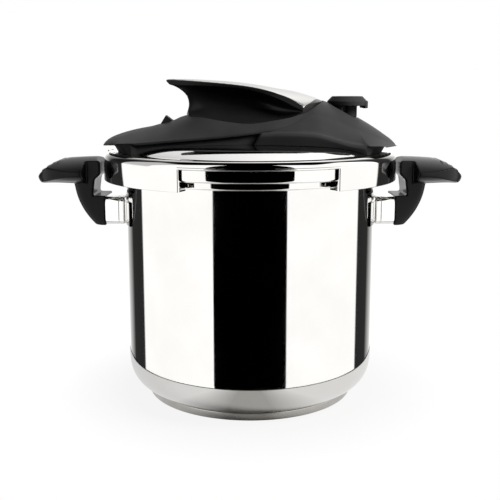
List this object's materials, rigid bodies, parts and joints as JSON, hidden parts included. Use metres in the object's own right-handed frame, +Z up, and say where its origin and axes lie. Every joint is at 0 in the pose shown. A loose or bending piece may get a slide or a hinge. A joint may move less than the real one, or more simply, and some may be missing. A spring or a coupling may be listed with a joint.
{
  "type": "stovetop pressure cooker",
  "caption": "Stovetop pressure cooker with a polished steel pot, a bayonet lid, a long black lid cover with a raised grip, a selector valve and side handles.",
  "frame": {"origin": "centre of the base, on the hob", "axes": "+X towards the selector valve and the right side handle, +Y to the back, +Z up"},
  "size_m": [0.379, 0.2588, 0.2816],
  "materials": {
    "polished_steel": "mirror polished stainless steel",
    "base_steel": "brushed stainless steel",
    "core_aluminium": "plain",
    "black_phenolic": "satin moulded phenolic with a fine grain",
    "silicone": "matte silicone",
    "brass": "turned",
    "spring_steel": "drawn wire",
    "fixing_steel": "zinc plated",
    "indicator_red": "moulded"
  },
  "bodies": {
    "pot": {"pot_body": "polished_steel", "heat_core": "core_aluminium", "base_cap": "base_steel", "bracket_right": "polished_steel", "ferrule_right": "polished_steel", "side_handle_right": "black_phenolic", "handle_screw_right": "fixing_steel", "bracket_left": "polished_steel", "ferrule_left": "polished_steel", "side_handle_left": "black_phenolic", "handle_screw_left": "fixing_steel"},
    "lid": {"lid_shell": "polished_steel", "gasket": "silicone", "lid_cover": "black_phenolic", "grip": "black_phenolic", "grip_plate": "polished_steel", "lid_studs": "fixing_steel", "cover_nuts": "fixing_steel", "grip_screws": "fixing_steel", "valve_tube": "brass", "valve_washer": "silicone", "valve_nut": "brass", "steam_filter": "polished_steel", "regulator_spring": "spring_steel", "indicator_bush": "brass", "indicator_nut": "brass", "safety_body": "brass", "safety_nut": "brass", "safety_cap": "brass", "safety_spring": "spring_steel"},
    "selector": {"selector_stem": "brass", "selector_knob": "black_phenolic"},
    "regulator": {"regulator_plunger": "brass"},
    "indicator": {"indicator_pin": "indicator_red", "indicator_seal": "silicone"},
    "safety": {"safety_ball": "polished_steel"},
    "lock": {"lock_slider": "black_phenolic", "lock_bolt": "polished_steel", "bolt_screws": "fixing_steel"}
  },
  "joints": [
    {"name": "lid_turn", "type": "hinge", "parent": "pot", "child": "lid", "pos_m": [0, 0, 0], "axis": [0, 0, 1], "range_deg": [0, 26]},
    {"name": "selector_turn", "type": "hinge", "parent": "lid", "child": "selector", "pos_m": [0.086, 0, 0.25], "axis": [0, 0, 1], "range_deg": [-60, 60]},
    {"name": "regulator_lift", "type": "slide", "parent": "lid", "child": "regulator", "axis": [0, 0, 1], "range_m": [0, 0.002], "stiffness_N_per_m": 2000, "springref_m": -0.003, "deforming": ["regulator_spring"]},
    {"name": "indicator_lift", "type": "slide", "parent": "lid", "child": "indicator", "axis": [0, 0, 1], "range_m": [0, 0.0045]},
    {"name": "safety_lift", "type": "slide", "parent": "lid", "child": "safety", "axis": [0, 0, 1], "range_m": [0, 0.0015], "stiffness_N_per_m": 3000, "springref_m": -0.003, "deforming": ["safety_spring"]},
    {"name": "lock_slide", "type": "slide", "parent": "lid", "child": "lock", "axis": [1, 0, 0], "range_m": [0, 0.004]}
  ]
}
